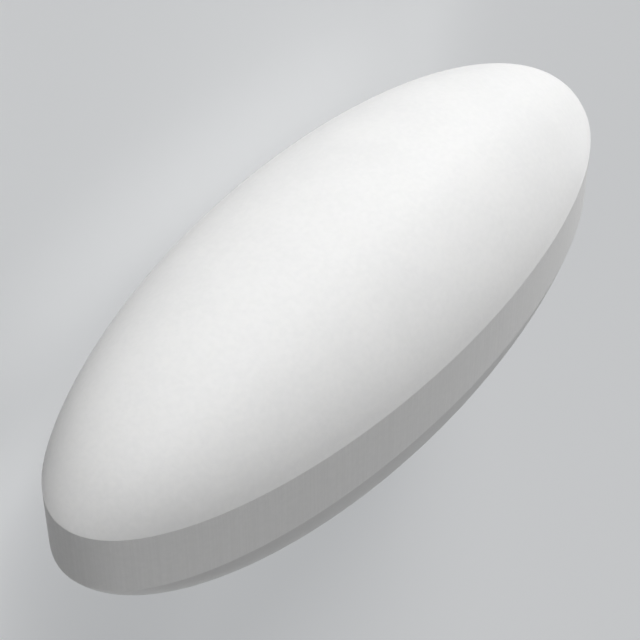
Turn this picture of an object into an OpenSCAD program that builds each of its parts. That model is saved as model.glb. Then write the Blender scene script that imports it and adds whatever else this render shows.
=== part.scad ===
// Oval magnetic stir bar: a rod magnet sealed in a white PTFE jacket.
//
// The jacket is pressed from powder, like a tablet: an elliptical die gives
// it a straight belly band, and two dished punches give it a cup on each
// side. The two cups are halves of one ellipsoid of revolution.
//
// The bar lies as it comes to rest, on its belly band.
// X runs from tip to tip, Y through the two cups, and Z is up. The origin is
// the middle of the bar, where the spin axis (Z) crosses the long axis (X).

/* [Jacket] */
// Length of the ellipsoid that the cups belong to, tip to tip
bar_length = 55; // [30:1:75]
// Diameter of that ellipsoid, which is also the bar's height over both cups
bar_diameter = 20; // [16:0.5:30]
// Width of the straight belly band between the two cups
band_width = 4; // [1:0.5:10]
// Least thickness of jacket left around the magnet
jacket_wall = 2.5; // [0.5:0.1:3.5]

/* [Magnet] */
// Diameter of the rod magnet
magnet_diameter = 10; // [4:0.5:12]
// Chamfer on the magnet's two ends, so that they don't cut into the jacket
magnet_chamfer = 0.6; // [0.1:0.1:1.5]
// Gap between the magnet and the pocket that the jacket forms around it
magnet_gap = 0.05; // [0.02:0.01:0.2]

/* [Hidden] */
$fn = 96;

// How many times longer than thick the bar is. Each elliptical form is made
// round first and then stretched along X by this, so its curve stays true.
stretch = bar_length / bar_diameter;

// Half the width of the bar across its belly band: the band stands on the
// line where a plane half a band from the middle cuts the ellipsoid.
belly_r = sqrt(pow(bar_diameter / 2, 2) - pow(band_width / 2, 2));

// The magnet's end corner just reaches the ellipse that lies one wall inside
// the band, and rods are cut to whole millimetres.
inner_half_width = belly_r - jacket_wall;
inner_half_length = stretch * belly_r - jacket_wall;
magnet_reach = inner_half_length * sqrt(1 - pow(magnet_diameter / 2 / inner_half_width, 2));
magnet_length = floor(2 * magnet_reach);

// Pressed form of the jacket, with the cups facing up and down: what an
// ellipsoid and the straight elliptical hole of the die have in common
module pressed_form() {
    intersection() {
        scale([stretch, 1, 1]) sphere(d = bar_diameter);
        scale([stretch, 1, 1]) cylinder(r = belly_r, h = bar_diameter, center = true);
    }
}

// Rod along X with chamfered ends
module chamfered_rod(diameter, length, chamfer) {
    r = diameter / 2;
    half = length / 2;
    rotate([0, 90, 0])
        rotate_extrude()
            polygon([
                [0, -half],
                [r - chamfer, -half],
                [r, -half + chamfer],
                [r, half - chamfer],
                [r - chamfer, half],
                [0, half]
            ]);
}

module jacket() {
    color("white")
        difference() {
            rotate([90, 0, 0]) pressed_form();
            chamfered_rod(
                magnet_diameter + 2 * magnet_gap,
                magnet_length + 2 * magnet_gap,
                magnet_chamfer
            );
        }
}

module magnet() {
    color("dimgray")
        chamfered_rod(magnet_diameter, magnet_length, magnet_chamfer);
}

jacket();
magnet();
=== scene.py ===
# %% [markdown]
# # Oval magnetic stir bar
#
# This is the bar that spins on the bottom of a round flask and stirs what is in it. It is a
# rod magnet inside a white PTFE jacket, and the jacket is pressed from powder in a die, as a
# tablet is: a straight belly band runs round it, and a domed cup bulges out on each side.
#
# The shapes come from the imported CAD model, the frame, and they are right as they are. What
# is left to do here is what a finisher would do: give each piece its real surface, set the
# bar down on a table, light it and aim the camera.

import math

import bpy
from mathutils import Matrix, Vector


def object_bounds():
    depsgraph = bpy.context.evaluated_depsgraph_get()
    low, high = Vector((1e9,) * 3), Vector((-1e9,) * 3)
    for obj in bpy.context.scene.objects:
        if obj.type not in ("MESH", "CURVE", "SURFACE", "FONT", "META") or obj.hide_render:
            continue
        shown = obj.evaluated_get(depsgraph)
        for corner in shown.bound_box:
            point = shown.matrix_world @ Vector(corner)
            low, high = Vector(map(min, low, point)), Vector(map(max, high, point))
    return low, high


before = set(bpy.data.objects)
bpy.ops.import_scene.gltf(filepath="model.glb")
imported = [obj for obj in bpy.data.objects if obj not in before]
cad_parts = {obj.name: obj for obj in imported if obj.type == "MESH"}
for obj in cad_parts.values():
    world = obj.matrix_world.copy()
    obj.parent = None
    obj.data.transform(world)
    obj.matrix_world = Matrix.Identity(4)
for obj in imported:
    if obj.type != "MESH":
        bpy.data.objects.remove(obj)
cad_low, cad_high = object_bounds()
scene = bpy.context.scene
MM = 0.001  # every length is in metres, so a millimetre is this
print("bar, mm:", [round(side / MM, 2) for side in cad_high - cad_low])

# %% [markdown]
# ## The camera
#
# The bar lies on its belly band, because that is how it comes to rest. It is looked at so
# that one cup faces up the picture, so the camera is turned on its side instead of the bar:
# it takes in one cup and the band at once, and its top edge points the way the cup bulges.
#
# A camera can be aimed by typing in three angles, by a Track To constraint, or by building
# its three axes from what it should see. The last is used here. The line of sight gives one
# axis, and the direction that should point up gives the other two, so nothing has to be
# tried out. It is a long lens used close up, as for any small product.


# %% Which way a direction points
def direction(azimuth, elevation):
    """Towards a place round the bar, in degrees: 0 is the -Y side, and 90 is the +X side."""
    turn = math.radians(azimuth)
    rise = math.radians(elevation)
    level = math.cos(rise)
    return Vector((math.sin(turn) * level, -math.cos(turn) * level, math.sin(rise)))


print("the +X side:", [round(part, 2) for part in direction(90, 0)])

# %% Aim the camera
VIEW_AZIMUTH = 44.65
VIEW_ELEVATION = 25.73
VIEW_DISTANCE = 115.08 * MM
NEAREST_SEEN = 10 * MM
# Blender takes the lens and the sensor in plain millimetres.
LENS = 101.2
SENSOR_WIDTH = 36

# The near end looks larger than the far end, so the aim is moved a little towards it.
aim = Vector((1.69, 1.02, -0.95)) * MM
cup_axis = Vector((0, -1, 0))

backwards = direction(VIEW_AZIMUTH, VIEW_ELEVATION)
right = cup_axis.cross(backwards).normalized()
up = backwards.cross(right)

camera_data = bpy.data.cameras.new("camera")
camera_data.lens = LENS
camera_data.sensor_width = SENSOR_WIDTH
camera_data.clip_start = NEAREST_SEEN
camera = bpy.data.objects.new("camera", camera_data)
scene.collection.objects.link(camera)
camera_turn = Matrix((right, up, backwards)).transposed().to_4x4()
camera.matrix_world = Matrix.Translation(aim + backwards * VIEW_DISTANCE) @ camera_turn
scene.camera = camera
print("camera, mm:", [round(value / MM, 1) for value in camera.matrix_world.translation])

# %% [markdown]
# ## Wiring a material
#
# A material is a graph. Each node is a small machine, and links carry numbers and colours
# from one to the next. Wiring a node by hand takes several lines of Python, so one helper
# does the repeating part: it adds a node, sets it up, and fills each socket with either a
# plain value or the output of an earlier node.


# %% Add a node and fill its sockets
def add_node(owner, kind, sockets, **settings):
    """A new node in a material's or the world's graph, with its sockets filled."""
    node = owner.node_tree.nodes.new(kind)
    for name, value in settings.items():
        setattr(node, name, value)
    for socket, value in sockets.items():
        if isinstance(value, bpy.types.NodeSocket):
            owner.node_tree.links.new(value, node.inputs[socket])
        else:
            node.inputs[socket].default_value = value
    return node


def empty_material(name):
    material = bpy.data.materials.new(name)
    material.use_nodes = True
    material.node_tree.nodes.clear()
    return material


ptfe = empty_material("pressed_ptfe")
print(ptfe.name, "starts with", len(ptfe.node_tree.nodes), "nodes")

# %% [markdown]
# ## Texture in millimetres
#
# A texture looks right only at its real size. Object coordinates are in metres here, so they
# are scaled to millimetres once, and every texture then says how many lumps it has in each
# millimetre along X, Y and Z. Different numbers along the three axes turn round lumps into
# streaks.


# %% Places and noise in millimetres
def place_in_mm(owner):
    place = add_node(owner, "ShaderNodeTexCoord", {})
    scaled = add_node(
        owner,
        "ShaderNodeVectorMath",
        {0: place.outputs["Object"], "Scale": 1 / MM},
        operation="SCALE",
    )
    return scaled.outputs[0]


def lumps(owner, place, per_mm, detail, rough=0.5):
    """Noise from 0 to 1, mostly near 0.5, with so many lumps in a millimetre each way."""
    stretched = add_node(owner, "ShaderNodeMapping", {"Vector": place, "Scale": per_mm})
    noise = add_node(
        owner,
        "ShaderNodeTexNoise",
        {"Vector": stretched.outputs[0], "Scale": 1.0, "Detail": detail, "Roughness": rough},
    )
    return noise.outputs["Fac"]


ptfe_place = place_in_mm(ptfe)
print("places in a material are now in mm:", len(ptfe.node_tree.nodes), "nodes")

# %% [markdown]
# ## The jacket: pressed PTFE
#
# PTFE is a white, waxy, slippery plastic. It can't be melted and poured, so its powder is
# pressed in a die and then baked until the grains grow together. That leaves three marks: a
# fine grain, larger soft clouds where the powder packed a little tighter, and, on the belly
# band only, faint straight drag lines, because the band slides along the wall of the die as
# the bar is pushed out.
#
# All three are made from noise at three sizes. A picture of plastic could be wrapped round
# the bar instead, but noise needs no unwrapping, shows no seam, and has its true scale.

# %% Grain, clouds and drag lines
GRAIN_PER_MM = 2.8
CLOUDS_PER_MM = 0.22
DRAG_ACROSS_PER_MM = 7.0
DRAG_ALONG_PER_MM = 0.1

grain = lumps(ptfe, ptfe_place, (GRAIN_PER_MM,) * 3, detail=3.0, rough=0.6)
clouds = lumps(ptfe, ptfe_place, (CLOUDS_PER_MM,) * 3, detail=2.0)
drag_per_mm = (DRAG_ACROSS_PER_MM, DRAG_ALONG_PER_MM, DRAG_ACROSS_PER_MM)
drag = lumps(ptfe, ptfe_place, drag_per_mm, detail=2.0, rough=0.6)
print("grain, mm:", round(1 / GRAIN_PER_MM, 2), "clouds, mm:", round(1 / CLOUDS_PER_MM, 1))

# %% [markdown]
# The band runs round the jacket along its middle plane, and its two edges are the only
# creases on the bar. Both can be told from how far a point is from that plane, so two masks
# are made from the one distance: one for the band, and one for a hair's breadth along each
# crease, where handling rubs the edge smooth first.
#
# That is arithmetic on numbers, and two helpers keep it readable: one for sums and products,
# and one that turns a range of values into a smooth step.


# %% Arithmetic on sockets
def work_out(owner, operation, first, second=0.0, third=0.0):
    return add_node(
        owner, "ShaderNodeMath", {0: first, 1: second, 2: third}, operation=operation
    ).outputs[0]


def smooth_step(owner, value, low, high, new_low=0.0, new_high=1.0):
    """Send low..high to new_low..new_high along an S curve, and hold it flat outside."""
    sockets = {
        "Value": value,
        "From Min": low,
        "From Max": high,
        "To Min": new_low,
        "To Max": new_high,
    }
    return add_node(
        owner, "ShaderNodeMapRange", sockets, interpolation_type="SMOOTHSTEP"
    ).outputs[0]


ptfe_axes = add_node(ptfe, "ShaderNodeSeparateXYZ", {0: ptfe_place})
off_middle = work_out(ptfe, "ABSOLUTE", ptfe_axes.outputs["Y"])
print("off the middle plane, in mm: the", off_middle.node.operation.lower(), "value of Y")

# %% [markdown]
# How far out the creases are follows from the frame. Cut across its middle, the ellipsoid
# that the cups belong to is a circle, whose radius is half the bar's width over both cups.
# A crease is a point on that circle at half the bar's height, so its distance from the
# middle plane is the third side of a right triangle.

# %% Masks for the band and its edges
BAND_BLEND = 0.04
EDGE_RUB = 0.16
# Most of a noise's values lie between these two.
NOISE_LOW = 0.35
NOISE_HIGH = 0.65

band_half = math.sqrt(cad_high.y**2 - cad_high.z**2) / MM
on_band = smooth_step(
    ptfe, off_middle, band_half - BAND_BLEND, band_half + BAND_BLEND, 1.0, 0.0
)
off_edge = work_out(ptfe, "ABSOLUTE", work_out(ptfe, "SUBTRACT", off_middle, band_half))
on_edge = smooth_step(ptfe, off_edge, 0.0, EDGE_RUB, 1.0, 0.0)
drag_streaks = smooth_step(ptfe, drag, NOISE_LOW, NOISE_HIGH)
drag_lines = work_out(ptfe, "MULTIPLY", drag_streaks, on_band)
print("band, mm:", round(2 * band_half, 2), "rubbed edge, mm:", EDGE_RUB)

# %% [markdown]
# The colour is a warm-neutral white that hardly changes: clean PTFE is one of the whitest
# plastics there is. Grain and clouds move it by a few hundredths, and the drag lines grey
# the band a little. White goes no higher than 0.9, because nothing real sends back all
# the light that it gets.

# %% Colour of the PTFE
WHITE_LOW = (0.860, 0.862, 0.860, 1)
WHITE_HIGH = (0.898, 0.898, 0.893, 1)
DRAG_GREY = (0.79, 0.79, 0.785, 1)
DRAG_STRENGTH = 0.25
# The mottle is this much grain and this much cloud, and nearly all its values lie between
# the last two.
GRAIN_SHARE = 0.6
CLOUD_SHARE = 0.4
MOTTLE_LOW = 0.32
MOTTLE_HIGH = 0.68

# A Mix node has a set of sockets for each kind of value, and these belong to colours.
MIX_AMOUNT, MIX_FIRST, MIX_SECOND, MIX_RESULT = 0, 6, 7, 2


def blend_colours(owner, amount, first, second):
    sockets = {MIX_AMOUNT: amount, MIX_FIRST: first, MIX_SECOND: second}
    return add_node(owner, "ShaderNodeMix", sockets, data_type="RGBA").outputs[MIX_RESULT]


cloud_part = work_out(ptfe, "MULTIPLY", clouds, CLOUD_SHARE)
mottle = work_out(ptfe, "MULTIPLY_ADD", grain, GRAIN_SHARE, cloud_part)
mottle = smooth_step(ptfe, mottle, MOTTLE_LOW, MOTTLE_HIGH)
white = blend_colours(ptfe, mottle, WHITE_LOW, WHITE_HIGH)
drag_amount = work_out(ptfe, "MULTIPLY", drag_lines, DRAG_STRENGTH)
streaked = blend_colours(ptfe, drag_amount, white, DRAG_GREY)
print("white runs from", WHITE_LOW[1], "to", WHITE_HIGH[1])

# %% [markdown]
# The surface is satin: it has a broad soft sheen and no mirror images. The clouds vary the
# roughness, the band is duller from dragging, and the rubbed edges are a touch glossier. A
# bump only a few thousandths of a millimetre high gives the grain and the drag lines some
# relief, which shows where light rakes across.

# %% Gloss and relief of the PTFE
ROUGH_LOW = 0.52
ROUGH_HIGH = 0.60
BAND_ROUGHER = 0.08
EDGE_ROUGHER = -0.10
DRAG_RELIEF = 0.5
RELIEF = 0.004

roughness = smooth_step(ptfe, clouds, NOISE_LOW, NOISE_HIGH, ROUGH_LOW, ROUGH_HIGH)
roughness = work_out(ptfe, "MULTIPLY_ADD", on_band, BAND_ROUGHER, roughness)
roughness = work_out(ptfe, "MULTIPLY_ADD", on_edge, EDGE_ROUGHER, roughness)
relief = work_out(ptfe, "MULTIPLY_ADD", drag_lines, DRAG_RELIEF, grain)
bump = add_node(ptfe, "ShaderNodeBump", {"Height": relief, "Distance": RELIEF * MM})
print("roughness:", ROUGH_LOW, "to", ROUGH_HIGH, "relief, mm:", RELIEF)

# %% [markdown]
# Light sinks a fraction of a millimetre into PTFE before it comes back out, which softens
# the shading and gives the waxy look. Subsurface scattering does that. Only half of the
# light is sent that way, and the rest leaves from the surface, so the creases stay crisp.
# PTFE also bends light less than other plastics do. Its index of refraction is 1.35, where
# most plastics have about 1.5, and so its gloss is weak.


# %% Put the PTFE together
def finish_node(node_name, material):
    """Give one piece of the frame its material, in place of the plain one it came with."""
    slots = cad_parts[node_name].data.materials
    slots.clear()
    slots.append(material)
    print(node_name, "is finished in", material.name, len(material.node_tree.nodes), "nodes")


ptfe_shader = add_node(
    ptfe,
    "ShaderNodeBsdfPrincipled",
    {
        "Base Color": streaked,
        "Roughness": roughness,
        "Normal": bump.outputs[0],
        "IOR": 1.35,
        "Subsurface Weight": 0.5,
        "Subsurface Radius": (1.0, 1.0, 0.95),
        "Subsurface Scale": 0.25 * MM,
    },
)
add_node(ptfe, "ShaderNodeOutputMaterial", {"Surface": ptfe_shader.outputs[0]})
finish_node("jacket", ptfe)

# %% [markdown]
# ## The magnet: cast Alnico
#
# The magnet can't be seen, because the jacket is pressed and baked round it. It is still
# finished as the real one is, for anyone who cuts the bar open. Alnico is an alloy of
# aluminium, nickel and cobalt with iron. It is too hard to turn, so rods are cast and then
# ground to size, which leaves fine rings round them and a few dark pits from the casting.

# %% Rings and pits
alnico = empty_material("ground_alnico")
alnico_place = place_in_mm(alnico)

RINGS_PER_MM = 12.0
RING_BREAKS_PER_MM = 0.15
PITS_PER_MM = 1.4
# A pit begins where its noise reaches the first value, and only the deepest reach the second.
PIT_EDGE = 0.62
PIT_FLOOR = 0.72

rings_per_mm = (RINGS_PER_MM, RING_BREAKS_PER_MM, RING_BREAKS_PER_MM)
rings = lumps(alnico, alnico_place, rings_per_mm, detail=3.0, rough=0.6)
casting = lumps(alnico, alnico_place, (PITS_PER_MM,) * 3, detail=4.0, rough=0.6)
pits = smooth_step(alnico, casting, PIT_EDGE, PIT_FLOOR)
print("rings in a millimetre:", RINGS_PER_MM)

# %% [markdown]
# A metal has no colour of its own under its gloss: what it mirrors is tinted by its base
# colour. So the ridges between the grinding rings are brighter and smoother, the grooves
# are duller, and the pits are dark, rough and sunk below the rest.

# %% Put the Alnico together
BRIGHT_METAL = (0.56, 0.56, 0.57, 1)
DULL_METAL = (0.40, 0.40, 0.41, 1)
PIT_METAL = (0.12, 0.115, 0.11, 1)
# The noise of the rings is this low in a groove, and this high on a ridge.
GROOVE = 0.3
RIDGE = 0.7
GROOVE_ROUGH = 0.42
RIDGE_ROUGH = 0.30
PIT_ROUGHER = 0.3
GRINDING = 0.006
PIT_DEPTH = -2.0

ridges = smooth_step(alnico, rings, GROOVE, RIDGE)
ground = blend_colours(alnico, ridges, DULL_METAL, BRIGHT_METAL)
pitted = blend_colours(alnico, pits, ground, PIT_METAL)
alnico_roughness = smooth_step(alnico, rings, GROOVE, RIDGE, GROOVE_ROUGH, RIDGE_ROUGH)
alnico_roughness = work_out(alnico, "MULTIPLY_ADD", pits, PIT_ROUGHER, alnico_roughness)
alnico_relief = work_out(alnico, "MULTIPLY_ADD", pits, PIT_DEPTH, rings)
alnico_bump = add_node(
    alnico, "ShaderNodeBump", {"Height": alnico_relief, "Distance": GRINDING * MM}
)
alnico_shader = add_node(
    alnico,
    "ShaderNodeBsdfPrincipled",
    {
        "Base Color": pitted,
        "Roughness": alnico_roughness,
        "Normal": alnico_bump.outputs[0],
        "Metallic": 1.0,
    },
)
add_node(alnico, "ShaderNodeOutputMaterial", {"Surface": alnico_shader.outputs[0]})
finish_node("magnet", alnico)

# %% [markdown]
# ## Light
#
# A white form with no pattern is shaped by light alone. If light came evenly from all round,
# the bar would be a flat white patch. So most of it comes from the front, low down: the
# front lamp faces the cup, and the key lamp is off to one side, so that the cup falls away
# smoothly from white to grey. The belly band looks up, and little light comes from there,
# so it reads as a clear darker step. Three weaker lamps fill in: one at the side for the
# bar's far end, one behind for the other cup, and a very broad one high up for the band.
#
# Area lamps close to the bar would leave hot patches on the table. A sun lamp throws the
# same light everywhere, so it lights the table evenly, and its width, as an angle, makes its
# shadows soft: these are as broad as softboxes hung far away.


# %% Hang the lamps
def hang_lamp(name, azimuth, elevation, width, brightness):
    """A far, soft, round lamp, with its place and width in degrees as the bar sees it.

    A white face turned to it is lit to the given brightness, where 1 shows as white. What
    it throws on a level surface, which it meets at a slant, is given back.
    """
    lamp_data = bpy.data.lights.new(name, "SUN")
    lamp_data.angle = math.radians(width)
    lamp_data.energy = brightness * math.pi
    lamp = bpy.data.objects.new(name, lamp_data)
    scene.collection.objects.link(lamp)
    lamp.rotation_euler = direction(azimuth, elevation).to_track_quat("Z", "Y").to_euler()
    print(name, "lamp:", azimuth, "degrees round,", elevation, "up, brightness", brightness)
    return brightness * math.sin(math.radians(elevation))


SKY = 0.02
level_light = SKY
level_light += hang_lamp("front", 5, 17, 25, 0.67)
level_light += hang_lamp("key", -50, 5, 14, 0.42)
level_light += hang_lamp("side", -110, 12, 25, 0.13)
level_light += hang_lamp("back", 160, 7, 25, 0.23)
level_light += hang_lamp("top", -150, 50, 40, 0.12)
print("light on a level surface:", round(level_light, 3))

# %% [markdown]
# ## Pale surroundings
#
# The bar lies on a large flat table in front of a plain backdrop, both in one pale tone. It
# is a touch cooler than the bar, so that a white edge still stands out where the bar and
# the table are equally bright.
#
# More light would make the table paler, but it would bleach the bar as well. So the tone is
# given to the surroundings themselves, and only for rays that look at them: the camera's
# own, and those in reflections and through glass. The light that they send to the bar stays
# as it was. Light Path tells what kind of ray has arrived.


# %% Rays that look at the surroundings
def seen_directly(owner):
    """1 for rays from the camera, in reflections and through glass, and 0 for the rest."""
    path = add_node(owner, "ShaderNodeLightPath", {})
    kinds = [path.outputs[f"Is {kind} Ray"] for kind in ("Camera", "Glossy", "Transmission")]
    first_two = work_out(owner, "MAXIMUM", kinds[0], kinds[1])
    return work_out(owner, "MAXIMUM", first_two, kinds[2])


# %% The backdrop
PALE = (0.55, 0.56, 0.57, 1)

world = bpy.data.worlds.new("studio")
scene.world = world
world.use_nodes = True
world.node_tree.nodes.clear()
sky_colour = blend_colours(world, seen_directly(world), (SKY, SKY, SKY, 1), PALE)
sky = add_node(world, "ShaderNodeBackground", {"Color": sky_colour})
add_node(world, "ShaderNodeOutputWorld", {"Surface": sky.outputs[0]})
print("the sky lights the bar with", SKY, "and shows as", PALE[:3])

# %% [markdown]
# The table is one flat sheet right under the bar. Its diffuse shader takes the bar's shadow.
# The bar also throws light down on the table beside it, which would glare on a white one, so
# this table sends back only a little over half of what falls on it. What is missing to the
# pale tone is added by an emission shader, again only for rays that look at it. Away from
# the bar the table then has the very tone of the backdrop, and no horizon shows.

# %% Lay the table
TABLE_SIDE = 4.0
TABLE_SENDS_BACK = 0.57

corner = TABLE_SIDE / 2
table_corners = [
    (-corner, -corner, cad_low.z),
    (corner, -corner, cad_low.z),
    (corner, corner, cad_low.z),
    (-corner, corner, cad_low.z),
]
table_mesh = bpy.data.meshes.new("table")
table_mesh.from_pydata(table_corners, [], [(0, 1, 2, 3)])
table = bpy.data.objects.new("table", table_mesh)
scene.collection.objects.link(table)

missing = [shown - TABLE_SENDS_BACK * level_light for shown in PALE[:3]]
matt = empty_material("matt_table")
paint = add_node(matt, "ShaderNodeBsdfDiffuse", {"Color": (TABLE_SENDS_BACK,) * 3 + (1,)})
lift = add_node(
    matt, "ShaderNodeEmission", {"Color": (*missing, 1), "Strength": seen_directly(matt)}
)
sheet = add_node(matt, "ShaderNodeAddShader", {0: paint.outputs[0], 1: lift.outputs[0]})
add_node(matt, "ShaderNodeOutputMaterial", {"Surface": sheet.outputs[0]})
table_mesh.materials.append(matt)
print("table height, mm:", round(cad_low.z / MM, 3), "added tone:", [round(m, 2) for m in missing])

# %% [markdown]
# ## Finish
#
# The standard view transform shows each colour as it is written. No shape is changed
# here, so the finished bar keeps the size of the CAD model.

# %% Show each colour as it is written
scene.view_settings.view_transform = "Standard"
